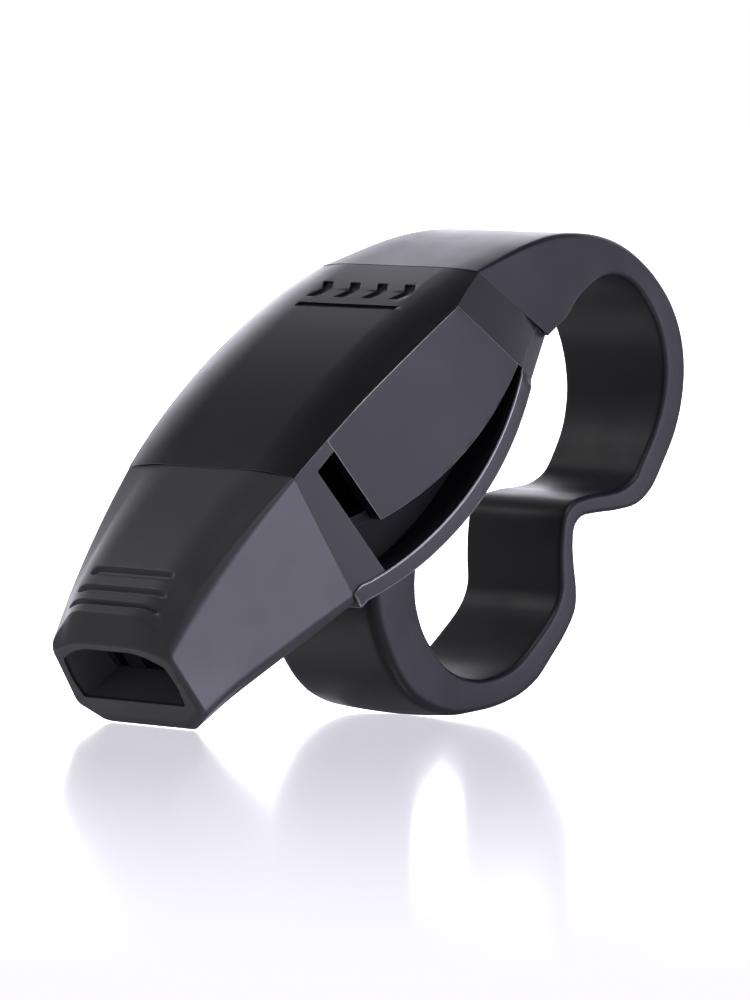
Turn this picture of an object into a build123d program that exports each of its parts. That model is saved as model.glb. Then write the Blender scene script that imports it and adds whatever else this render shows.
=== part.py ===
from build123d import *
import math
import os

# Pealess three-chamber training whistle with a soft mouth grip and a soft finger grip.
# It rests on the lower lip of its mouthpiece and on the bottom of its lower finger loop.
# +X runs from the mouthpiece to the finger grip, +Y is to one side, +Z is up, and Z = 0 is the
# surface it rests on. Side views are drawn with X = 0 near the lower lip, then centred by MIDDLE.

# ---- driving dimensions, mm ----
WALL = 1.5                      # hard side walls and chamber plates
ROOF_THICK = 1.8
ROOF_RADIUS = 86.0              # long arch of the roof, seen from the side
CROWN_FLAT = 7.0                # half-width of the flat middle of the roof
CROWN_RADIUS = 24.0             # roll of the roof's shoulders
AXIS_TILT = 43.0                # the whistle's own axis rises this much from mouth to tail

ROOF_FRONT = (9.0, 25.3)        # middle of the roof at the mouthpiece seam
ROOF_REAR = (33.1, 45.0)        # middle of the roof at the finger grip seam
FRONT_SEAM_LOW = (18.2, 12.1)   # underside at the mouthpiece seam
BELLY_MID = (31.0, 20.8)
BELLY_REAR = (39.2, 34.0)       # the belly's round stretch ends here, and the tail flares out
REAR_SEAM_LOW = (43.2, 38.3)    # underside at the finger grip seam

BELLY_THICK = 1.8
BELLY_LEDGE = 0.25              # the belly plate's edge stands proud of the side walls
SLOT_TOP = (12.3, 25.1)         # front edge of the side window, upper end
SLOT_LOW = (21.2, 15.2)         # and its lower end
SLOT_WIDTH = 2.7
SLOT_RAIL = 2.3                 # rim above the slot, below the roof's crown
PLATE_RAIL = 1.0                # rim above the chamber plate
CREASE_TOP = (30.1, 40.7)       # line where the side walls start to close to the tail
CREASE_LOW = (37.4, 35.5)
CREASE_HALF = 14.1              # half-width of the body at the crease
TAIL_CLOSING = 0.38             # and how fast it closes behind the crease
FACET_ANGLE = 132.0             # the tail's lower facet closes faster, across this line
FACET_CLOSING = 0.43
PLATE_LOW_FRONT = (19.7, 20.3)  # lower edge of the chamber plate
PLATE_LOW_MID = (28.6, 25.7)
PLATE_LOW_REAR = (37.4, 35.8)

CENTRE_HALF = 4.2               # half-width of the centre chamber above the side chambers' floors
RECESS_WALL = 10.0              # outer face of the centre chamber's lower side walls
INNER_WALL = 1.1
CHANNEL_WIDTH = 1.3             # side windways, across the whistle
CHANNEL_HEIGHT = 7.0
CENTRE_CHANNEL = 1.4            # height of the centre windway
WINDOW_FRONT = (20.6, 13.6)     # front edge of the centre chamber's window in the belly
WINDOW_LENGTH = 1.8
SIDE_WINDWAY = ((2.0, 6.2), (36.0, 12.6))       # its outer wall, along the axis and across
SIDE_WINDWAY_LINE = ((2.5, 5.6), (24.0, 27.0))  # its middle, in the side view
CENTRE_WINDWAY_LINE = ((2.0, 4.9), (22.0, 17.7))
CENTRE_WINDWAY_HALF = 3.2

CHEVRON = [(-1.4, 1.9), (0.2, 1.9), (1.4, 0.5), (0.2, -0.9), (-1.4, -0.9), (-0.2, 0.5)]
CHEVRONS = 4                    # sunk into the roof, above a plain bar
CHEVRON_PITCH = 4.2
CHEVRON_DEPTH = 0.35
CHEVRON_MIDDLE = (28.4, 42.6)
CHEVRON_SLOPE = 30.0
BAR_SIZE = (15.4, 0.7)
BAR_BELOW = 2.3

LIP_ANGLE = 125.0               # the lip's face leans back from the vertical
LIP_BASE = (1.9, 0.0)
LIP_SECTION = [(6.2, 0.0), (9.3, 2.2), (8.8, 8.6), (4.8, 10.8)]
SEAM_SECTION = [(11.4, 0.0), (12.5, 1.6), (12.6, 14.6), (7.0, 16.1)]
MOUTH_SECTION = [(7.3, 2.6), (7.8, 3.4), (6.9, 7.6), (3.6, 9.2)]
STUB_SECTION = [(9.6, 2.2), (10.6, 3.2), (10.4, 12.2), (6.6, 13.7)]
MOUTH_DEPTH = 5.0               # from the lip to the air block inside

GRIP_TOP = (49.5, 48.5)
GRIP_REAR = (65.65, 33.2)
GRIP_LOW = (35.2, 0.0)
GRIP_LOW_HALF = 7.4             # half-width of the finger grip behind its lower loop
GRIP_PLAN = [(30.0, 13.4), (34.0, 12.5), (43.0, 11.2), (52.0, 9.4), (60.0, 8.3), (66.0, 7.6)]
GRIP_FRONT = [(18.0, 7.4), (24.0, 7.3), (28.0, 7.4), (34.0, 8.0), (41.0, 11.0), (50.0, 14.0)]
ROOT_PLAN = [(18.0, 9.4), (26.0, 8.8), (34.0, 8.35), (42.0, 7.85), (50.0, GRIP_LOW_HALF)]
FRONT_ROOT = (22.7, 14.6)       # where the finger grip leaves the belly
ROOT_REAR = 50.0                # the lower loop widens ahead of this
PINCH_Z = 20.0                  # height of the pinch between the loops
TONGUE_THICK = 2.0
TONGUE_HOLE = 1.5
REAR_TONGUE = ((38.0, 41.9), (46.6, 45.0))
REAR_TONGUE_HALF = 6.0
BELLY_TONGUE = ((25.2, 19.0), (27.6, 12.0))
BELLY_TONGUE_HALF = 5.5

OVER = 30.0                     # how far cutting shapes run past the object
MIDDLE = 30.6                   # side views are moved back by this, so X = 0 is mid-length


def unit(angle):
    return (math.cos(math.radians(angle)), math.sin(math.radians(angle)))


def toward(point, angle, length):
    dx, dz = unit(angle)
    return (point[0] + dx * length, point[1] + dz * length)


def angle_of(start, end):
    return math.degrees(math.atan2(end[1] - start[1], end[0] - start[0]))


FRONT_SEAM = angle_of(FRONT_SEAM_LOW, ROOF_FRONT)
REAR_SEAM = angle_of(REAR_SEAM_LOW, ROOF_REAR)
CREASE = angle_of(CREASE_LOW, CREASE_TOP)
SLOT = angle_of(SLOT_LOW, SLOT_TOP)
BELLY = ThreePointArc(FRONT_SEAM_LOW, BELLY_MID, BELLY_REAR)
TAIL_LINE = angle_of(BELLY_REAR, REAR_SEAM_LOW)
PLATE_LOW = ThreePointArc(PLATE_LOW_FRONT, PLATE_LOW_MID, PLATE_LOW_REAR)

# Half-width of the hard body along its own axis: it swells from the mouth to the middle.
BODY_PLAN = [(18.0, 11.7), (22.5, 12.6), (33.0, 13.9), (42.0, 14.4), (50.6, 14.1), (64.0, 13.2)]


def side_solid(edges, low=-OVER, high=OVER):
    """A closed side-view outline, solid across the whistle from y = low to y = high."""
    face = Plane.XZ * make_face(edges)
    return Pos(0, high, 0) * extrude(face, amount=high - low)


def polygon(*points):
    return Polyline(*points, close=True)


def behind(point, angle, length=3 * OVER):
    """Half-space behind (on the tail side of) a slanted line through point."""
    low = toward(point, angle, -length)
    high = toward(point, angle, length)
    return side_solid(polygon(low, high, toward(high, angle - 90, length), toward(low, angle - 90, length)))


def disc(centre, radius):
    """Everything within radius of a line that runs straight across the whistle."""
    return Pos(centre[0], 0, centre[1]) * Rot(90, 0, 0) * Cylinder(radius, 2 * OVER)


def axis_plane(point, angle):
    """A plane through point that holds the Y direction and a line that rises at angle."""
    dx, dz = unit(angle)
    return Plane(origin=(point[0], 0, point[1]), x_dir=(dx, 0, dz), z_dir=(-dz, 0, dx))


def mirrored_face(stations):
    """A flat shape given by its half-width at stations along it, joined by smooth sides."""
    left = [(s, half) for s, half in stations]
    right = [(s, -half) for s, half in reversed(stations)]
    return make_face([Spline(*left), Line(left[-1], right[0]), Spline(*right), Line(right[-1], left[0])])


def swelling(grow):
    """Width of the barrel of the hard body, measured along its own axis."""
    face = mirrored_face([(s, half + grow) for s, half in BODY_PLAN])
    return extrude(axis_plane((0, 0), AXIS_TILT) * face, amount=3 * OVER, both=True)


def closing_sides(angle, closing, grow):
    """Two flat sides that are CREASE_HALF wide at a slanted line and close in behind it."""
    front, rear = -2 * OVER, OVER
    front_half = CREASE_HALF + grow - closing * front
    rear_half = CREASE_HALF + grow - closing * rear
    sides = polygon((front, front_half), (rear, rear_half), (rear, -rear_half), (front, -front_half))
    return extrude(axis_plane(CREASE_LOW, angle - 90) * make_face(sides), amount=3 * OVER, both=True)


def plan_solid(grow=0.0):
    """Width of the hard body. Growing it leaves the tail as it is, and sinking it sinks both."""
    tail_grow = min(grow, 0.0)
    upper_facet = closing_sides(CREASE, TAIL_CLOSING, tail_grow)
    lower_facet = closing_sides(FACET_ANGLE, FACET_CLOSING, tail_grow)
    return (swelling(grow) & upper_facet) & lower_facet


def roof_centre():
    """Centre of the roof's long arch, below and behind the whistle."""
    mid = ((ROOF_FRONT[0] + ROOF_REAR[0]) / 2, (ROOF_FRONT[1] + ROOF_REAR[1]) / 2)
    half = math.dist(ROOF_FRONT, ROOF_REAR) / 2
    back = math.sqrt(ROOF_RADIUS ** 2 - half ** 2)
    return toward(mid, angle_of(ROOF_FRONT, ROOF_REAR) - 90, back)


def roof_drum(depth=0.0):
    """A wide drum whose crowned rim is the roof, sunk by depth."""
    radius = ROOF_RADIUS - depth
    reach = 17.0
    full = math.asin((reach - CROWN_FLAT) / CROWN_RADIUS)

    def rim(angle):
        return (radius - CROWN_RADIUS * (1 - math.cos(angle)), CROWN_FLAT + CROWN_RADIUS * math.sin(angle))

    start, middle, end = rim(0), rim(full / 2), rim(full)
    low = [(p[0], -p[1]) for p in (start, middle, end)]
    edges = [
        Line((0, -reach), (0, reach)),
        Line((0, reach), end),
        ThreePointArc(end, middle, start),
        Line(start, low[0]),
        ThreePointArc(low[0], low[1], low[2]),
        Line(low[2], (0, -reach)),
    ]
    centre = roof_centre()
    return Pos(centre[0], 0, centre[1]) * revolve(make_face(edges), axis=Axis.Y)


def above_belly(depth=0.0):
    """Everything above the round belly and the straight underside of the tail, raised by depth."""
    centre = BELLY.arc_center
    tail_point = toward(REAR_SEAM_LOW, TAIL_LINE + 90, depth)
    return disc((centre.X, centre.Y), BELLY.radius - depth) + behind(tail_point, TAIL_LINE + 180)


def plate_disc(depth=0.0):
    """Everything above the lower edge of the chamber plates, raised by depth."""
    centre = PLATE_LOW.arc_center
    return disc((centre.X, centre.Y), PLATE_LOW.radius - depth)


def body(roof=0.0, side=0.0, belly=0.0):
    """The hard body between its seams, with its roof, sides and belly sunk by these amounts."""
    between = behind(FRONT_SEAM_LOW, FRONT_SEAM) - behind(REAR_SEAM_LOW, REAR_SEAM)
    return between & above_belly(belly) & roof_drum(roof) & plan_solid(-side)


def section(base, angle, points):
    """A mirrored cross-section given as (half-width, height), standing at base and leaning back."""
    dx, dz = unit(angle)
    plane = Plane(origin=(base[0], 0, base[1]), x_dir=(0, 1, 0), z_dir=(dz, 0, -dx))
    up = 1 if plane.y_dir.Z > 0 else -1
    right = [(half, up * height) for half, height in points]
    left = [(-half, up * height) for half, height in reversed(points)]
    return plane * make_face(polygon(*right, *left))


def hollow_inside():
    return body(ROOF_THICK, WALL, BELLY_THICK)


def window_cut(front, rail):
    """A side window's outline: slanted front edge, rail above, crease behind, belly below."""
    between = behind(front, SLOT) - behind(CREASE_LOW, CREASE)
    return between & disc(roof_centre(), ROOF_RADIUS - rail) & above_belly(BELLY_THICK)


def plate_window():
    """The part of the side window that the chamber plate covers."""
    return window_cut(toward(SLOT_LOW, SLOT - 90, SLOT_WIDTH), PLATE_RAIL)


def roof_relief():
    """Plain chevrons and a bar sunk into the roof just ahead of the finger grip."""
    dx, dz = unit(CHEVRON_SLOPE)
    plane = Plane(origin=(CHEVRON_MIDDLE[0], 0, CHEVRON_MIDDLE[1]), x_dir=(0, -1, 0), z_dir=(-dz, 0, dx))
    marks = extrude(plane * Pos(0, -BAR_BELOW) * Rectangle(*BAR_SIZE), amount=3, both=True)
    for index in range(CHEVRONS):
        across = (index - (CHEVRONS - 1) / 2) * CHEVRON_PITCH
        chevron = polygon(*[(across + x, y) for x, y in CHEVRON])
        marks += extrude(plane * make_face(chevron), amount=3, both=True)
    return marks - roof_drum(CHEVRON_DEPTH)


def upper_casing():
    """Roof, front side walls, rails and the closed-in tail walls, in one moulding."""
    windows = window_cut(SLOT_LOW, SLOT_RAIL) + plate_window()
    shell = body(belly=BELLY_THICK) - hollow_inside()
    return shell - (windows - body(side=WALL)) - roof_relief()


def belly_plate():
    """The lower moulding: its edge shows as a thin strip below both side windows."""
    between = behind(FRONT_SEAM_LOW, FRONT_SEAM) - behind(REAR_SEAM_LOW, REAR_SEAM)
    plate = between & (above_belly() - above_belly(BELLY_THICK)) & roof_drum() & plan_solid(BELLY_LEDGE)
    window_rear = toward(WINDOW_FRONT, SLOT - 90, WINDOW_LENGTH)
    window = (behind(WINDOW_FRONT, SLOT) - behind(window_rear, SLOT)) & half_space(-CENTRE_HALF, CENTRE_HALF)
    root = tongue(*BELLY_TONGUE, BELLY_TONGUE_HALF) - above_belly(BELLY_THICK / 2)
    return plate - window + root


def half_space(low, high=OVER):
    """Everything across the whistle from y = low to y = high."""
    return Pos(0, (low + high) / 2, 0) * Box(8 * OVER, high - low, 8 * OVER)


def chamber_plate():
    """Outer wall of one side chamber. Its free front edge splits the air from the slot."""
    wall = body(belly=BELLY_THICK) - body(side=WALL, belly=BELLY_THICK)
    return wall & plate_window() & plate_disc() & half_space(CENTRE_HALF)


def chamber_wall():
    """Side wall and floor of one side chamber, stepped outwards below the floor."""
    middle = (behind(SLOT_LOW, SLOT) - behind(CREASE_LOW, CREASE)) & hollow_inside()
    upper = middle & plate_disc(INNER_WALL) & half_space(CENTRE_HALF, CENTRE_HALF + INNER_WALL)
    floor = middle & (plate_disc() - plate_disc(INNER_WALL)) & half_space(CENTRE_HALF)
    lower = (middle - plate_disc()) & half_space(RECESS_WALL - INNER_WALL, RECESS_WALL)
    return upper + floor + lower


def mouth_passage():
    """The tapered hole through the mouth grip, which the air block fills behind the mouth."""
    front = section(LIP_BASE, LIP_ANGLE, MOUTH_SECTION)
    rear = section(FRONT_SEAM_LOW, FRONT_SEAM, STUB_SECTION)
    return loft([front, rear])


def bar_between(start, end, thick, low, high):
    """A straight bar along a slanted line of the side view, from y = low to y = high."""
    run = angle_of(start, end)
    corners = [
        toward(start, run + 90, thick / 2),
        toward(end, run + 90, thick / 2),
        toward(end, run - 90, thick / 2),
        toward(start, run - 90, thick / 2),
    ]
    return side_solid(polygon(*corners), low, high)


def side_windway():
    """A narrow slanted passage that follows the side wall out to the slot."""
    outer_front, outer_rear = SIDE_WINDWAY
    inner_rear = (outer_rear[0], outer_rear[1] - CHANNEL_WIDTH)
    inner_front = (outer_front[0], outer_front[1] - CHANNEL_WIDTH)
    strip = polygon(outer_front, outer_rear, inner_rear, inner_front)
    passage = extrude(axis_plane((0, 0), AXIS_TILT) * make_face(strip), amount=3 * OVER, both=True)
    return passage & bar_between(*SIDE_WINDWAY_LINE, CHANNEL_HEIGHT, -OVER, OVER)


def air_block():
    """The block inside the mouthpiece, with three windways, one for each chamber."""
    front = toward(LIP_BASE, LIP_ANGLE - 90, MOUTH_DEPTH)
    block = hollow_inside() - behind(SLOT_LOW, SLOT)
    block += mouth_passage() & behind(front, LIP_ANGLE)
    block -= behind(WINDOW_FRONT, SLOT) & half_space(-CENTRE_HALF, CENTRE_HALF)
    passage = side_windway()
    block -= passage
    block -= mirror(passage, about=Plane.XZ)
    block -= bar_between(*CENTRE_WINDWAY_LINE, CENTRE_CHANNEL, -CENTRE_WINDWAY_HALF, CENTRE_WINDWAY_HALF)
    return block


def mouthpiece_sleeve():
    """The soft mouth grip: a tapered sleeve with a thick upper lip."""
    lip = section(LIP_BASE, LIP_ANGLE, LIP_SECTION)
    seam = section(FRONT_SEAM_LOW, FRONT_SEAM, SEAM_SECTION)
    return loft([lip, seam]) - mouth_passage()


def tongue(start, end, half):
    """A flat tongue with a hole that the soft grip fills, so it can't pull off."""
    bar = bar_between(start, end, TONGUE_THICK, -half, half)
    middle = ((start[0] + 2 * end[0]) / 3, (start[1] + 2 * end[1]) / 3)
    turn = 90 - angle_of(start, end)
    hole = Pos(middle[0], 0, middle[1]) * Rot(0, turn, 0) * Rot(0, 90, 0) * Cylinder(TONGUE_HOLE, OVER)
    return bar - hole


def tail_plug():
    """Closes the three chambers behind, and holds the upper end of the finger grip."""
    return (hollow_inside() & behind(CREASE_LOW, CREASE)) + tongue(*REAR_TONGUE, REAR_TONGUE_HALF)


def grip_outline():
    """Side view of the finger grip: a large upper loop, a pinch and a smaller lower loop."""
    into_body = (31.0, 40.0)
    rear_run = (64.9, 28.0)
    lower_run = (46.4, 4.2)
    inner_run = (61.9, 28.2)
    inner_low = (46.2, 7.7)
    outer_top = Spline(
        ROOF_REAR, (41.0, 47.45), GRIP_TOP, (58.5, 45.9), (63.4, 41.2), GRIP_REAR, rear_run,
        tangents=[unit(22), unit(-114)],
    )
    outer_pinch = FilletPolyline(rear_run, (61.2, 20.8), (51.0, 19.8), (51.9, 10.0), lower_run, radius=2.2)
    outer_low = Spline(lower_run, (41.7, 1.5), GRIP_LOW, tangents=[unit(-133), unit(180)])
    outer_root = Spline(GRIP_LOW, (29.8, 1.5), (25.8, 5.4), (23.4, 10.4), FRONT_ROOT, tangents=[unit(180), unit(98)])
    into_belly = (25.0, 20.0)
    root_inside = (29.0, 24.0)
    inner_root = (28.7, 14.5)
    inner_low_arc = Spline(
        inner_root, (30.1, 9.0), (33.2, 5.4), (38.0, 3.8), (42.5, 4.8), inner_low,
        tangents=[unit(-90), unit(46)],
    )
    inner_pinch = FilletPolyline(inner_low, (49.6, 11.3), (49.0, 21.4), (59.2, 22.7), inner_run, radius=1.9)
    inner_top = Spline(
        inner_run, (62.7, 33.4), (60.5, 40.5), (55.2, 44.1), (48.5, 41.8), REAR_SEAM_LOW,
        tangents=[unit(70), unit(206)],
    )
    return [
        outer_top, outer_pinch, outer_low, outer_root,
        Polyline(FRONT_ROOT, into_belly, root_inside, inner_root),
        inner_low_arc, inner_pinch, inner_top,
        Polyline(REAR_SEAM_LOW, into_body, ROOF_REAR),
    ]


def straight_plan(stations):
    """Width as a function of X, as a solid through the whole height."""
    return extrude(mirrored_face(stations), amount=3 * OVER, both=True)


def front_plan(stations):
    """Width as a function of Z, as a solid along the whole length."""
    upright = Plane(origin=(0, 0, 0), x_dir=(0, 0, 1), z_dir=(1, 0, 0))
    return extrude(upright * mirrored_face(stations), amount=4 * OVER, both=True)


def finger_grip():
    """The soft grip, widest where it meets the body and narrow round the fingers."""
    ring = side_solid(grip_outline())
    root_box = side_solid(polygon((10, -5), (ROOT_REAR, -5), (ROOT_REAR, PINCH_Z), (10, PINCH_Z)))
    loops = (ring - root_box) & straight_plan(GRIP_PLAN)
    upper = loops & side_solid(polygon((0, PINCH_Z), (80, PINCH_Z), (80, 60), (0, 60)))
    upper &= front_plan(GRIP_FRONT)
    lower = loops & side_solid(polygon((0, -5), (80, -5), (80, PINCH_Z), (0, PINCH_Z)))
    lower &= half_space(-GRIP_LOW_HALF, GRIP_LOW_HALF)
    root = ring & root_box & straight_plan(ROOT_PLAN)
    grip = upper + lower + root
    grip -= (behind(FRONT_SEAM_LOW, FRONT_SEAM) - behind(REAR_SEAM_LOW, REAR_SEAM)) & above_belly()
    grip -= tongue(*REAR_TONGUE, REAR_TONGUE_HALF)
    grip -= tongue(*BELLY_TONGUE, BELLY_TONGUE_HALF)
    return grip


def main():
    os.makedirs("parts", exist_ok=True)
    plate = chamber_plate()
    wall = chamber_wall()
    nodes = {
        "mouthpiece_sleeve": mouthpiece_sleeve(),
        "air_block": air_block(),
        "upper_casing": upper_casing(),
        "belly_plate": belly_plate(),
        "chamber_plate_left": plate,
        "chamber_plate_right": mirror(plate, about=Plane.XZ),
        "chamber_wall_left": wall,
        "chamber_wall_right": mirror(wall, about=Plane.XZ),
        "tail_plug": tail_plug(),
        "finger_grip": finger_grip(),
    }
    for name, solid in nodes.items():
        export_step(Pos(-MIDDLE, 0, 0) * solid, f"parts/{name}.step")


main()
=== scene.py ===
import math

import bmesh
import bpy
import numpy as np
from mathutils import Matrix, Vector


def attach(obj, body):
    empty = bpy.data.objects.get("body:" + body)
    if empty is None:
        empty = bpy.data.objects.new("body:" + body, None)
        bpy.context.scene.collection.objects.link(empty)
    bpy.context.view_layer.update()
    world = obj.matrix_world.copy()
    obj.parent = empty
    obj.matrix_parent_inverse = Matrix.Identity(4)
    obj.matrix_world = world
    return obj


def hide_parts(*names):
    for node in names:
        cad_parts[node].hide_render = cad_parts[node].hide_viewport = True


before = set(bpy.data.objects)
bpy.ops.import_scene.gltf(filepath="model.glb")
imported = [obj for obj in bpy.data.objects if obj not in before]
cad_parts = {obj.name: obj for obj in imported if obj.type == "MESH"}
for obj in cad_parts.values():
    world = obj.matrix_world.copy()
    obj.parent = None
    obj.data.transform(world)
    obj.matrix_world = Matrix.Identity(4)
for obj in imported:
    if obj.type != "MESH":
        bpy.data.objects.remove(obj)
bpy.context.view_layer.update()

# Shapes are worked out in millimetres in the whistle's side view, where X = 0 is near the lower lip
# and Z = 0 is the table. put() moves them into the frame, whose origin is the middle of the length.
MM = 0.001
MIDDLE = 30.6


# ---------------------------------------------------------------- helpers
def put(points):
    """Side-view millimetres to frame metres."""
    out = np.array(points, float).reshape(-1, 3)
    out[:, 0] -= MIDDLE
    return out * MM


def ease(value, low, high):
    """A smooth step from 0 at low to 1 at high."""
    t = np.clip((value - low) / (high - low), 0, 1)
    return t * t * (3 - 2 * t)


def smooth_path(keys, count):
    """Rows of numbers, drawn as a smooth curve through the key rows and evenly spaced along it."""
    keys = np.array(keys, float)
    gaps = np.sqrt(np.linalg.norm(np.diff(keys[:, :2], axis=0), axis=1))
    times = np.concatenate([[0], np.cumsum(gaps)])
    slopes = np.gradient(keys, times, axis=0)
    dense = np.linspace(0, times[-1], count * 8)
    index = np.clip(np.searchsorted(times, dense, side="right") - 1, 0, len(times) - 2)
    span = (times[index + 1] - times[index])[:, None]
    u = (dense - times[index])[:, None] / span
    rows = (
        (2 * u ** 3 - 3 * u ** 2 + 1) * keys[index]
        + (u ** 3 - 2 * u ** 2 + u) * span * slopes[index]
        + (3 * u ** 2 - 2 * u ** 3) * keys[index + 1]
        + (u ** 3 - u ** 2) * span * slopes[index + 1]
    )
    length = np.concatenate([[0], np.cumsum(np.linalg.norm(np.diff(rows[:, :2], axis=0), axis=1))])
    even = np.linspace(0, length[-1], count)
    return np.stack([np.interp(even, length, column) for column in rows.T], 1)


def ring_mesh(name, rings, last_closed=True):
    """A skin over a stack of equal rings of points, in frame metres; its first ring is always closed."""
    rings = np.array(rings)
    count, around = rings.shape[0], rings.shape[1]
    faces = []
    for i in range(count - 1):
        for j in range(around):
            k = (j + 1) % around
            faces.append((i * around + j, i * around + k, (i + 1) * around + k, (i + 1) * around + j))
    faces.append(tuple(reversed(range(around))))
    if last_closed:
        faces.append(tuple(range((count - 1) * around, count * around)))
    mesh = bpy.data.meshes.new(name)
    mesh.from_pydata([tuple(p) for p in rings.reshape(-1, 3)], [], faces)
    mesh.validate()
    for face in mesh.polygons:
        face.use_smooth = True
    turn_faces_outward(mesh)
    piece = bpy.data.objects.new(name, mesh)
    bpy.context.scene.collection.objects.link(piece)
    return piece


def turn_faces_outward(mesh):
    work = bmesh.new()
    work.from_mesh(mesh)
    bmesh.ops.recalc_face_normals(work, faces=work.faces)
    work.to_mesh(mesh)
    work.free()


# ---------------------------------------------------------------- camera
CAMERA_AZIMUTH = -40.59
CAMERA_ELEVATION = 2.72
CAMERA_ROLL = 0.80
CAMERA_DISTANCE = 0.898
CAMERA_TARGET = (0.0002, 0.0, 0.0216)
SENSOR_WIDTH = 36.0
LENS = 323.3


def add_camera():
    """A long lens just above the table, which looks at the whistle past its mouth end."""
    azimuth, elevation = math.radians(CAMERA_AZIMUTH), math.radians(CAMERA_ELEVATION)
    back = Vector((
        math.sin(azimuth) * math.cos(elevation),
        -math.cos(azimuth) * math.cos(elevation),
        math.sin(elevation),
    ))
    data = bpy.data.cameras.new("camera")
    data.sensor_width = SENSOR_WIDTH
    data.lens = LENS
    data.clip_start = 0.05
    data.clip_end = 20.0
    camera = bpy.data.objects.new("camera", data)
    camera.location = Vector(CAMERA_TARGET) + back * CAMERA_DISTANCE
    level = (-back).to_track_quat("-Z", "Y").to_matrix()
    roll = Matrix.Rotation(math.radians(CAMERA_ROLL), 3, "Z")
    camera.rotation_mode = "QUATERNION"
    camera.rotation_quaternion = (level @ roll).to_quaternion()
    bpy.context.scene.collection.objects.link(camera)
    bpy.context.scene.camera = camera


# ---------------------------------------------------------------- finger grip
# Side view from the roof's seam to the belly: outer X, outer Z, inner X, inner Z, half-width.
GRIP_STATIONS = [
    (33.1, 45.0, 43.2, 38.3, 11.9),
    (37.0, 46.3, 44.9, 39.2, 11.45),
    (41.0, 47.5, 46.6, 40.1, 11.0),
    (45.0, 48.3, 48.5, 41.8, 10.4),
    (48.9, 48.5, 50.6, 43.1, 9.9),
    (52.4, 48.2, 52.9, 44.0, 9.3),
    (55.6, 47.4, 55.4, 44.1, 8.8),
    (58.5, 45.95, 57.8, 43.2, 8.5),
    (61.2, 43.85, 59.8, 41.4, 8.3),
    (63.4, 41.2, 61.2, 39.3, 8.2),
    (64.9, 38.1, 62.2, 37.0, 8.05),
    (65.6, 34.7, 62.75, 34.3, 7.85),
    (65.6, 31.3, 62.7, 31.5, 7.55),
    (65.0, 28.2, 61.95, 28.4, 7.25),
    (63.6, 25.1, 60.6, 25.6, 7.1),
    (61.9, 22.4, 59.3, 23.6, 7.15),
    (60.0, 20.95, 57.6, 22.6, 7.2),
    (57.2, 20.35, 55.6, 22.2, 7.25),
    (54.2, 20.1, 53.2, 21.95, 7.3),
    (52.3, 19.75, 51.0, 21.35, 7.35),
    (51.35, 18.8, 49.8, 20.1, 7.4),
    (51.15, 17.1, 49.35, 17.8, 7.4),
    (51.35, 14.9, 49.3, 15.0, 7.4),
    (51.7, 12.5, 49.4, 12.6, 7.4),
    (51.6, 10.5, 48.9, 11.0, 7.4),
    (50.5, 8.4, 47.9, 9.5, 7.45),
    (48.5, 5.9, 46.2, 7.7, 7.55),
    (46.2, 3.4, 44.4, 6.0, 7.65),
    (43.4, 1.8, 42.5, 4.75, 7.8),
    (40.4, 0.75, 40.0, 4.0, 7.95),
    (37.2, 0.25, 37.6, 3.85, 8.15),
    (34.8, 0.02, 35.4, 4.3, 8.3),
    (32.2, 0.45, 33.2, 5.4, 8.5),
    (29.8, 1.5, 31.5, 7.1, 8.6),
    (27.6, 3.15, 30.1, 9.0, 8.7),
    (25.8, 5.35, 29.15, 11.3, 8.8),
    (24.2, 8.2, 28.75, 13.4, 8.95),
    (23.2, 11.0, 28.7, 16.0, 9.1),
    (22.7, 14.8, 28.8, 20.5, 9.2),
]
GRIP_RINGS = 520
FLAT_STEPS = 12
ARC_STEPS = 8
SIDE_STEPS = 3
EDGE_ROUND = 0.60           # radius of the band's edges
SEAM_SHARPER = 0.35         # taken off that radius at the roof's seam
ROOT_ROUNDER = 0.9          # added to the outer radius near the belly
SEAM_SPAN = 0.10            # share of the band's length over which the edges get their full radius
ROOT_START, ROOT_END = 0.80, 0.92
CROWN_FLAT = 7.0            # half-width of the flat middle of the roof's crown
CROWN_RADIUS = 24.0
CROWN_SPAN = 0.13           # share of the band's length over which the crown dies away
FOOT_CROWN = 0.4            # how far the edges of the foot rise off the table
FOOT_HEIGHT = 2.0


def crown_drop(y):
    """How far the roof's rolled shoulders fall below its flat middle."""
    over = np.clip(np.abs(y) - CROWN_FLAT, 0, CROWN_RADIUS)
    return CROWN_RADIUS - np.sqrt(CROWN_RADIUS ** 2 - over ** 2)


def half_section(depth, half, outer_round, inner_round):
    """Half of the band's section, as (height above its inner face, distance from its middle)."""
    outer_edge, inner_edge = half - outer_round, half - inner_round
    side = depth - outer_round - inner_round
    turns = [math.pi / 2 * i / ARC_STEPS for i in range(ARC_STEPS + 1)]
    points = [(depth, outer_edge * i / FLAT_STEPS) for i in range(FLAT_STEPS)]
    for a in turns:
        points.append((depth - outer_round * (1 - math.cos(a)), outer_edge + outer_round * math.sin(a)))
    for i in range(1, SIDE_STEPS):
        points.append((depth - outer_round - side * i / SIDE_STEPS, half))
    for a in turns:
        points.append((inner_round * (1 - math.sin(a)), inner_edge + inner_round * math.cos(a)))
    for i in range(1, FLAT_STEPS + 1):
        points.append((0.0, inner_edge * (1 - i / FLAT_STEPS)))
    return points


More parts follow.
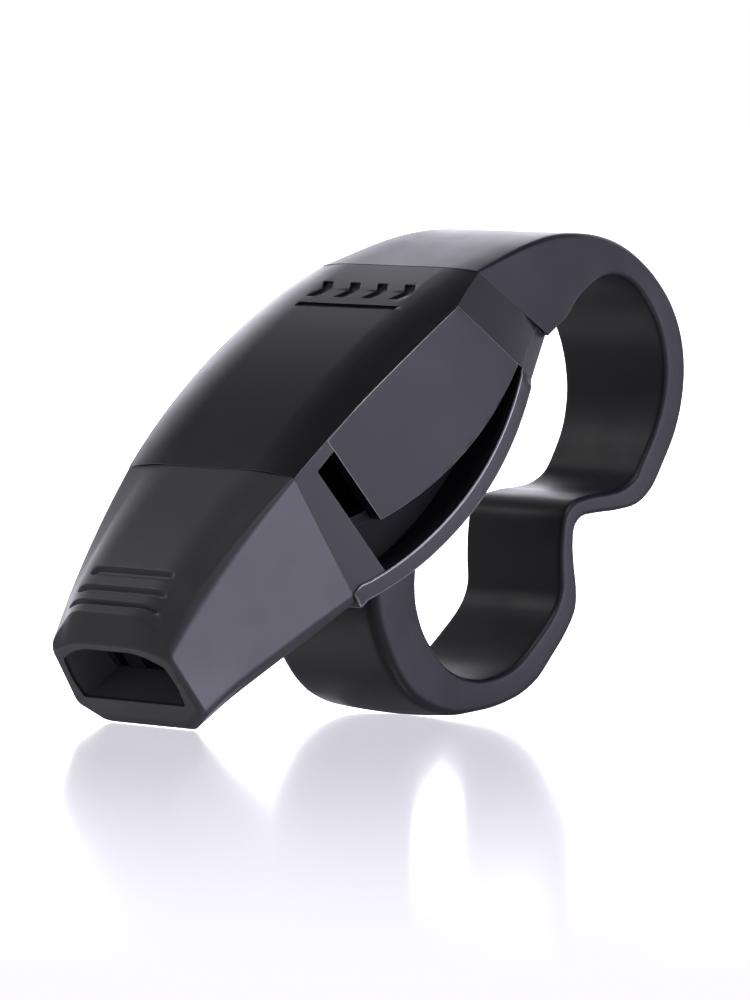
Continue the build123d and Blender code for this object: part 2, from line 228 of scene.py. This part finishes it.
def grip_ring(station, along):
    """One ring of the band: crowned like the roof at its upper end, rounder at its lower end."""
    outer_x, outer_z, inner_x, inner_z, half = station
    depth = math.hypot(outer_x - inner_x, outer_z - inner_z)
    way_x, way_z = (outer_x - inner_x) / depth, (outer_z - inner_z) / depth
    near_root = np.clip((along - ROOT_START) / (ROOT_END - ROOT_START), 0, 1)
    near_seam = 1 - np.clip(along / SEAM_SPAN, 0, 1)
    outer_round = EDGE_ROUND + ROOT_ROUNDER * near_root - SEAM_SHARPER * near_seam
    inner_round = EDGE_ROUND - SEAM_SHARPER * near_seam
    right = half_section(depth, half, outer_round, inner_round)
    left = [(height, -y) for height, y in reversed(right[1:-1])]
    crown = 1 - ease(along, 0, CROWN_SPAN)
    foot = FOOT_CROWN * np.clip((FOOT_HEIGHT - outer_z) / FOOT_HEIGHT, 0, 1)
    ring = []
    for height, y in right + left:
        drop = crown_drop(y) * crown + foot * (y / half) ** 2
        lowered = height - drop * height / depth
        ring.append((inner_x + way_x * lowered, y, inner_z + way_z * lowered))
    return put(ring)


def finger_grip():
    stations = smooth_path(GRIP_STATIONS, GRIP_RINGS)
    rings = [grip_ring(station, i / (GRIP_RINGS - 1)) for i, station in enumerate(stations)]
    return ring_mesh("finger_grip_band", rings)


# ---------------------------------------------------------------- mouth grip
LIP_ANGLE = math.radians(125.0)
LIP_BASE = (1.9, 0.0)
SEAM_LOW = (18.2, 12.1)
ROOF_FRONT = (9.0, 25.3)
SEAM_ANGLE = math.atan2(ROOF_FRONT[1] - SEAM_LOW[1], ROOF_FRONT[0] - SEAM_LOW[0])
SMOOTH = 40.0               # a corner radius so large that the two sides run into each other
# Half sections from the bottom up: half-width, height along the section, corner radius.
SEAM_CORNERS = [(12.1, 0.1, 0.8), (12.45, 1.2, 1.2), (12.85, 15.45, 0.6), (7.2, 16.05, SMOOTH)]
MID_CORNERS = [(7.9, 0.1, 1.9), (10.25, 1.95, 1.3), (9.95, 11.0, 1.9), (6.4, 12.95, SMOOTH)]
RIDGE_CORNERS = [(6.7, -0.35, 2.2), (10.1, 1.8, 1.5), (9.3, 9.2, 1.6), (5.6, 12.5, SMOOTH)]
FACE_CORNERS = [(6.4, 0.25, 1.6), (9.4, 2.1, 0.9), (8.9, 8.7, 1.0), (4.9, 9.85, SMOOTH)]
HOLE_CORNERS = [(7.9, 3.0, 0.5), (8.25, 5.2, 3.0), (7.9, 7.7, 0.9), (4.6, 9.2, SMOOTH)]
MID_SHARE = 0.8             # the middle section's place between the seam and the lip
MID_BACK = 0.44             # how far the middle section stands back from that place
RIDGE_BACK = (0.55, 1.90)   # how far the ridge stands behind the lip's face, below and at its top
RIDGE_TOP = (8.8, 11.6)     # the heights between which it moves back
SKIN_RINGS = 260
SKIN_SMOOTHING = 24         # rings averaged each way
SKIN_SWELL = 0.35           # how far the skin swells between the seam and the middle section
SWELL_WAY = np.array([-0.746, 0.0, 0.667])
SWELL_HEIGHT = 10.0         # the swell grows from the bottom to this height
GRIP_LENGTH = 19.0          # along the top, from the seam to the ridge
GROOVES = ((1.7, 6.8), (3.85, 6.5), (6.0, 6.1))   # distance behind the ridge, half-width
GROOVE_DEPTH = 0.45
GROOVE_HALF = 0.55
GROOVE_FLOOR = 0.25         # share of a groove's half that is flat
GROOVE_END = 0.35
GROOVE_TOP = (8.5, 10.5)    # the heights between which the grooves come in
LIP_ROLL = np.array([0.35, 1.0, 0.35])
LIP_STEPS = 8
FACE_STEPS = (0.25, 0.5, 0.75, 0.93)
HOLE_ROUND = 0.35
HOLE_STEPS = 5
BORE_DEPTHS = (0.8, 1.6, 2.6, 3.8, 5.2)


def rounded_outline(corners, arc_points=11, side_points=9):
    """A mirrored closed outline with rounded corners; every outline has the same number of points."""
    loop = [np.array(c, float) for c in corners]
    loop += [np.array([-c[0], c[1], c[2]]) for c in reversed(corners)]
    total = len(loop)
    arcs = []
    for i, corner in enumerate(loop):
        before, after, here = loop[i - 1][:2], loop[(i + 1) % total][:2], corner[:2]
        back, ahead = np.linalg.norm(before - here), np.linalg.norm(after - here)
        to_before, to_after = (before - here) / back, (after - here) / ahead
        half_turn = math.acos(np.clip(to_before @ to_after, -1, 1)) / 2
        reach = min(corner[2] / math.tan(half_turn), 0.49 * back, 0.49 * ahead)
        start, end = here + to_before * reach, here + to_after * reach
        t = np.linspace(0, 1, arc_points)[:, None]
        arcs.append((1 - t) ** 2 * start + 2 * t * (1 - t) * here + t ** 2 * end)
    points = []
    for i, arc in enumerate(arcs):
        following = arcs[(i + 1) % total][0]
        t = np.linspace(0, 1, side_points + 2)[1:-1, None]
        points.extend([arc, arc[-1] * (1 - t) + following * t])
    return np.concatenate(points)


def on_section(base, angle, outline, back=0.0):
    """An outline of (y, height) on a leaning section plane, moved back into the whistle."""
    dx, dz = math.cos(angle), math.sin(angle)
    x = base[0] + dx * outline[:, 1] + dz * back
    z = base[1] + dz * outline[:, 1] - dx * back
    return np.stack([x, outline[:, 0], z], 1)


def skin_sections():
    """Eased rings from the seam to the ridge, and each ring point's share of the grooves."""
    ridge_outline = rounded_outline(RIDGE_CORNERS)
    height = ridge_outline[:, 1]
    back = RIDGE_BACK[0] + (RIDGE_BACK[1] - RIDGE_BACK[0]) * ease(height, *RIDGE_TOP)
    seam_low, lip_low = np.array(SEAM_LOW), np.array(LIP_BASE)
    mid_low = seam_low + (lip_low - seam_low) * MID_SHARE
    seam = on_section(seam_low, SEAM_ANGLE, rounded_outline(SEAM_CORNERS))
    middle = on_section(mid_low, LIP_ANGLE, rounded_outline(MID_CORNERS), MID_BACK)
    ridge = on_section(lip_low, LIP_ANGLE, ridge_outline, back)
    share = np.linspace(0, 1, SKIN_RINGS)[:, None, None]
    rear = np.clip(share / MID_SHARE, 0, 1)
    front = np.clip((share - MID_SHARE) / (1 - MID_SHARE), 0, 1)
    behind = seam * (1 - rear) + middle * rear
    straight = np.where(share < MID_SHARE, behind, middle * (1 - front) + ridge * front)
    swell = 4 * rear * (1 - rear) * np.clip(height / SWELL_HEIGHT, 0, 1)[None, :, None]
    straight = straight + SWELL_WAY * SKIN_SWELL * swell
    smooth = straight.copy()
    for i in range(1, SKIN_RINGS - 1):
        reach = min(SKIN_SMOOTHING, i, SKIN_RINGS - 1 - i)
        smooth[i] = straight[i - reach:i + reach + 1].mean(axis=0)
    return smooth, ease(height, *GROOVE_TOP)


def grooved(ring, behind_ridge, top_share):
    """Sinks the three grip grooves into the top of a ring."""
    depth = np.zeros(len(ring))
    for distance, half in GROOVES:
        across = 1 - ease(abs(behind_ridge - distance), GROOVE_FLOOR * GROOVE_HALF, GROOVE_HALF)
        depth += GROOVE_DEPTH * across * ease(half - np.abs(ring[:, 1]), 0.0, GROOVE_END)
    inward = ring.mean(axis=0) - ring
    inward[:, 1] = 0
    inward /= np.linalg.norm(inward, axis=1)[:, None] + 1e-9
    return ring + inward * (depth * top_share)[:, None]


def lip_sections(ridge):
    """Rings from the ridge over the rolled lip to the edge of the hole, and the rings of the bore."""
    face = on_section(LIP_BASE, LIP_ANGLE, rounded_outline(FACE_CORNERS))
    hole = on_section(LIP_BASE, LIP_ANGLE, rounded_outline(HOLE_CORNERS))
    corner = face + (ridge - face) * LIP_ROLL
    rings = []
    for i in range(1, LIP_STEPS + 1):
        t = i / LIP_STEPS
        rings.append((1 - t) ** 2 * ridge + 2 * t * (1 - t) * corner + t ** 2 * face)
    for share in FACE_STEPS:
        rings.append(face * (1 - share) + hole * share)
    inward = np.array([math.sin(LIP_ANGLE), 0.0, -math.cos(LIP_ANGLE)])
    for i in range(HOLE_STEPS + 1):
        turn = math.pi / 2 * i / HOLE_STEPS
        rings.append(hole + inward * HOLE_ROUND * (1 - math.cos(turn)))
    bore = [hole + inward * depth for depth in BORE_DEPTHS]
    return rings, bore


def mouth_grip(skin_material, bore_painted_light_material):
    """The soft mouth grip, from the seam forward over the lip and back into the open bore."""
    skin, top_share = skin_sections()
    lip, bore = lip_sections(skin[-1])
    rings = []
    for i, ring in enumerate(skin):
        behind_ridge = (1 - i / (SKIN_RINGS - 1)) * GRIP_LENGTH
        rings.append(grooved(ring, behind_ridge, top_share))
    rings += lip + bore
    piece = ring_mesh("mouth_grip", [put(ring) for ring in rings], last_closed=False)
    piece.data.materials.append(skin_material)
    piece.data.materials.append(bore_painted_light_material)
    # The bore's faces take the second material, a lighter copy of the mouth rubber that paints the light
    # inside the bore.
    first_in_bore = (len(rings) - len(bore) - 1) * len(rings[0])
    for face in piece.data.polygons:
        if min(face.vertices) >= first_in_bore:
            face.material_index = 1
    return piece


# ---------------------------------------------------------------- shader helpers
def new_tree(owner, keep_shader=False):
    """The node tree of a material or a world, emptied unless its own shader is wanted."""
    owner.use_nodes = True
    if not keep_shader:
        owner.node_tree.nodes.clear()
    return owner.node_tree


def ranged(tree, value, start, end, smooth=True):
    """Carries a value from the start pair of limits to the end pair."""
    node = tree.nodes.new("ShaderNodeMapRange")
    node.interpolation_type = "SMOOTHSTEP" if smooth else "LINEAR"
    node.inputs["From Min"].default_value, node.inputs["From Max"].default_value = start
    node.inputs["To Min"].default_value, node.inputs["To Max"].default_value = end
    tree.links.new(value, node.inputs["Value"])
    return node.outputs["Result"]


def reach_along(tree, place, way):
    """How far a place or a direction reaches along the given way."""
    node = tree.nodes.new("ShaderNodeVectorMath")
    node.operation = "DOT_PRODUCT"
    node.inputs[1].default_value = way
    tree.links.new(place, node.inputs[0])
    return node.outputs["Value"]


def noise(tree, place, scale, detail):
    node = tree.nodes.new("ShaderNodeTexNoise")
    node.inputs["Scale"].default_value = scale
    node.inputs["Detail"].default_value = detail
    tree.links.new(place, node.inputs["Vector"])
    return node.outputs["Fac"]


def mixed(tree, share, first, second):
    """A mix of two shaders, with all of the second where the share is 1."""
    node = tree.nodes.new("ShaderNodeMixShader")
    tree.links.new(share, node.inputs["Fac"])
    tree.links.new(first, node.inputs[1])
    tree.links.new(second, node.inputs[2])
    return node.outputs["Shader"]


# ---------------------------------------------------------------- materials
GRAIN = 9000.0              # noise scale of the moulded grain, per metre
GRAIN_DEPTH = 0.00002
GRAIN_STRENGTH = 0.35
HANDLING = 260.0            # noise scale of the faint marks left by handling
TONE_MARKS = (0.3, 0.75)    # the marks' noise values at the darkest and the lightest tone
TONE_SPREAD = 0.07
GLOSS_MARKS = (0.3, 0.7)    # and at the lowest and the highest roughness
ROUGHNESS_SPREAD = 0.02
WELD_REACH = 0.002          # joins the corners that neighbouring faces share
BEVEL_SEGMENTS = 3
SHARP_ANGLE = 28.0          # an edge that turns by more than this is rounded
FLAT_FACE_WEIGHT = 80


def moulded(name, base, roughness, specular, ior=1.5):
    """A dark moulded surface with a fine grain and faint handling marks in its tone and gloss."""
    material = bpy.data.materials.new(name)
    tree = new_tree(material, keep_shader=True)
    shader = tree.nodes["Principled BSDF"]
    shader.inputs["Specular IOR Level"].default_value = specular
    shader.inputs["IOR"].default_value = ior
    place = tree.nodes.new("ShaderNodeTexCoord").outputs["Object"]
    fine = noise(tree, place, GRAIN, 3.0)
    broad = noise(tree, place, HANDLING, 4.0)

    colour = tree.nodes.new("ShaderNodeValToRGB")
    tones = (1 - TONE_SPREAD, 1 + TONE_SPREAD)
    for stop, position, tone in zip(colour.color_ramp.elements, TONE_MARKS, tones):
        stop.position = position
        stop.color = (base[0] * tone, base[1] * tone, base[2] * tone, 1)
    tree.links.new(broad, colour.inputs["Fac"])
    tree.links.new(colour.outputs["Color"], shader.inputs["Base Color"])

    gloss = (roughness - ROUGHNESS_SPREAD, roughness + ROUGHNESS_SPREAD)
    tree.links.new(ranged(tree, broad, GLOSS_MARKS, gloss, smooth=False), shader.inputs["Roughness"])

    bump = tree.nodes.new("ShaderNodeBump")
    bump.inputs["Strength"].default_value = GRAIN_STRENGTH
    bump.inputs["Distance"].default_value = GRAIN_DEPTH
    tree.links.new(fine, bump.inputs["Height"])
    tree.links.new(bump.outputs["Normal"], shader.inputs["Normal"])
    return material


def dress(piece, material):
    piece.data.materials.clear()
    piece.data.materials.append(material)


def dress_hard(node, material, edge_width, edge_material):
    """Dresses a hard moulding and rounds its sharp edges, which take the edge material."""
    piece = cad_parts[node]
    dress(piece, material)
    piece.data.materials.append(edge_material)
    weld = piece.modifiers.new("edge_join", "WELD")
    weld.merge_threshold = WELD_REACH * MM
    bevel = piece.modifiers.new("edge_round", "BEVEL")
    bevel.width = edge_width * MM
    bevel.segments = BEVEL_SEGMENTS
    bevel.limit_method = "ANGLE"
    bevel.angle_limit = math.radians(SHARP_ANGLE)
    bevel.use_clamp_overlap = True
    bevel.material = 1
    shading = piece.modifiers.new("edge_shading", "WEIGHTED_NORMAL")
    shading.weight = FLAT_FACE_WEIGHT


# ---------------------------------------------------------------- stage and light
FLOOR_HALF = 6.0
FLOOR_DROP = 0.00002        # keeps the table just clear of the whistle's underside
FLOOR_TINT = (0.98, 0.968, 1.06, 1)
FLOOR_SIDE = (0.49, -0.87, 0.0)
FLOOR_GLOW_REACH = (0.02, 0.09)
FLOOR_GLOW = (0.42, 0.95)   # light given to the whistle, under it and beside it
FLOOR_FRONT = (-0.651, -0.759, 0.0)
FLOOR_GLOSS_REACH = (0.02, 0.26)
FLOOR_GLOSS = 0.38
FLOOR_ROUGHNESS = 0.11
BACKDROP_HEIGHT = (0.14, 0.71)
BACKDROP_STRENGTH = 6.5
BACKDROP_WAY = (0.76, 0.65, 0.0)
BACKDROP_WIDTH = (0.63, 0.90)
BACKDROP_SHARE = (0.02, 1.0)
BACKDROP_TINT = (0.97, 0.95, 1.06, 1)
FILL = 0.10


def add_stage():
    """A large white table top with a faint gloss that dies away in front of the whistle."""
    corners = [(-FLOOR_HALF, -FLOOR_HALF, 0), (FLOOR_HALF, -FLOOR_HALF, 0)]
    corners += [(FLOOR_HALF, FLOOR_HALF, 0), (-FLOOR_HALF, FLOOR_HALF, 0)]
    mesh = bpy.data.meshes.new("floor")
    mesh.from_pydata(corners, [], [(0, 1, 2, 3)])
    floor = bpy.data.objects.new("floor", mesh)
    floor.location.z = -FLOOR_DROP
    bpy.context.scene.collection.objects.link(floor)
    dress(floor, floor_white())


def floor_white():
    material = bpy.data.materials.new("floor_white")
    tree = new_tree(material)
    place = tree.nodes.new("ShaderNodeNewGeometry").outputs["Position"]
    glow = tree.nodes.new("ShaderNodeEmission")
    glow.inputs["Color"].default_value = FLOOR_TINT
    given = ranged(tree, reach_along(tree, place, FLOOR_SIDE), FLOOR_GLOW_REACH, FLOOR_GLOW)
    strength = tree.nodes.new("ShaderNodeMix")
    strength.inputs[3].default_value = 1.0
    seen = tree.nodes.new("ShaderNodeLightPath").outputs["Is Camera Ray"]
    tree.links.new(seen, strength.inputs[0])
    tree.links.new(given, strength.inputs[2])
    tree.links.new(strength.outputs[0], glow.inputs["Strength"])
    gloss = tree.nodes.new("ShaderNodeBsdfGlossy")
    gloss.inputs["Roughness"].default_value = FLOOR_ROUGHNESS
    gloss.inputs["Color"].default_value = (1, 1, 1, 1)
    fade = ranged(tree, reach_along(tree, place, FLOOR_FRONT), FLOOR_GLOSS_REACH, (FLOOR_GLOSS, 0.0))
    out = tree.nodes.new("ShaderNodeOutputMaterial")
    shader = mixed(tree, fade, glow.outputs["Emission"], gloss.outputs["BSDF"])
    tree.links.new(shader, out.inputs["Surface"])
    return material


def backdrop(tree, tint):
    node = tree.nodes.new("ShaderNodeBackground")
    node.inputs["Color"].default_value = tint
    return node


def add_world():
    """A white studio: bright low behind the whistle, dim to the sides and dark above."""
    world = bpy.data.worlds.new("studio")
    bpy.context.scene.world = world
    tree = new_tree(world)
    way = tree.nodes.new("ShaderNodeTexCoord").outputs["Generated"]
    height = reach_along(tree, way, (0.0, 0.0, 1.0))
    strength = ranged(tree, height, BACKDROP_HEIGHT, (BACKDROP_STRENGTH, 0.0))
    width = ranged(tree, reach_along(tree, way, BACKDROP_WAY), BACKDROP_WIDTH, BACKDROP_SHARE)
    total = tree.nodes.new("ShaderNodeMath")
    total.operation = "MULTIPLY_ADD"
    total.inputs[2].default_value = FILL
    tree.links.new(strength, total.inputs[0])
    tree.links.new(width, total.inputs[1])
    lighting = backdrop(tree, BACKDROP_TINT)
    tree.links.new(total.outputs["Value"], lighting.inputs["Strength"])
    white = backdrop(tree, (1, 1, 1, 1))
    seen = tree.nodes.new("ShaderNodeLightPath").outputs["Is Camera Ray"]
    out = tree.nodes.new("ShaderNodeOutputWorld")
    shader = mixed(tree, seen, lighting.outputs["Background"], white.outputs["Background"])
    tree.links.new(shader, out.inputs["Surface"])


LIGHT_TARGET = Vector((0, 0, 0.022))
LIGHT_DISTANCE = 0.6


def add_light(name, direction, size, power, colour=(1, 1, 1)):
    """A rectangular area light that faces the middle of the whistle from the given direction."""
    data = bpy.data.lights.new(name, "AREA")
    data.shape = "RECTANGLE"
    data.size, data.size_y = size
    data.energy = power
    data.color = colour
    light = bpy.data.objects.new(name, data)
    way = Vector(direction).normalized()
    light.location = LIGHT_TARGET + way * LIGHT_DISTANCE
    light.rotation_mode = "QUATERNION"
    light.rotation_quaternion = (-way).to_track_quat("-Z", "Y")
    bpy.context.scene.collection.objects.link(light)


# ---------------------------------------------------------------- build
CASE_EDGE = 0.18            # width of the rounded edges on the outer mouldings
CORE_EDGE = 0.10            # and on the inner ones

bpy.context.scene.view_settings.view_transform = "Standard"
add_camera()
add_world()
add_stage()
add_light("side_softbox", (0.34, -0.92, 0.17), (0.55, 0.26), 2.2, colour=(0.95, 0.92, 1.16))
add_light("edge_light", (-0.28, -0.32, 0.90), (0.12, 0.12), 1.0)
add_light("rim_light", (-0.42, 0.76, 0.50), (0.10, 0.06), 0.25)

case_plastic = moulded("case_plastic", (0.0065, 0.006, 0.0095), 0.38, specular=0.42)
plate_plastic = moulded("plate_plastic", (0.0065, 0.006, 0.0095), 0.38, specular=0.36)
# Painted highlight: the rounded edges of the outer mouldings get a lighter colour than the case, which
# paints bright lines along those edges.
painted_edge_highlight = moulded("painted_edge_highlight", (0.045, 0.042, 0.055), 0.34, specular=1.0, ior=1.9)
core_plastic = moulded("core_plastic", (0.026, 0.025, 0.028), 0.6, specular=0.25)
# Painted light: the open bore gets its own copy of the mouth rubber, much lighter in colour and duller,
# which paints the light inside the bore.
bore_painted_light_rubber = moulded("bore_painted_light_rubber", (0.12, 0.115, 0.122), 0.7, specular=0.3)
# Painted shade: a darker, duller copy of the core plastic on the recessed chamber walls paints the shade
# inside the recess.
recess_shade_plastic = moulded("recess_shade_plastic", (0.016, 0.0155, 0.0175), 0.7, specular=0.1)
# Painted light: the mouth grip is the same rubber as the finger grip, given a lighter colour that paints
# the brighter light falling on the mouth grip.
mouth_rubber = moulded("mouth_rubber", (0.0165, 0.0145, 0.0225), 0.48, specular=0.95)
grip_rubber = moulded("grip_rubber", (0.0065, 0.0053, 0.0105), 0.47, specular=0.45)

# The rounded edges of the case and the chamber plates take the painted edge highlight.
for node in ("upper_casing", "belly_plate"):
    dress_hard(node, case_plastic, CASE_EDGE, painted_edge_highlight)
for node in ("air_block", "tail_plug"):
    dress_hard(node, core_plastic, CORE_EDGE, core_plastic)
for side in ("left", "right"):
    dress_hard("chamber_plate_" + side, plate_plastic, CASE_EDGE, painted_edge_highlight)
    # The recessed chamber walls take the painted recess shade.
    dress_hard("chamber_wall_" + side, recess_shade_plastic, CORE_EDGE, core_plastic)

grip = finger_grip()
dress(grip, grip_rubber)
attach(grip, "root")
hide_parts("finger_grip")

mouth = mouth_grip(mouth_rubber, bore_painted_light_rubber)
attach(mouth, "root")
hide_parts("mouthpiece_sleeve")
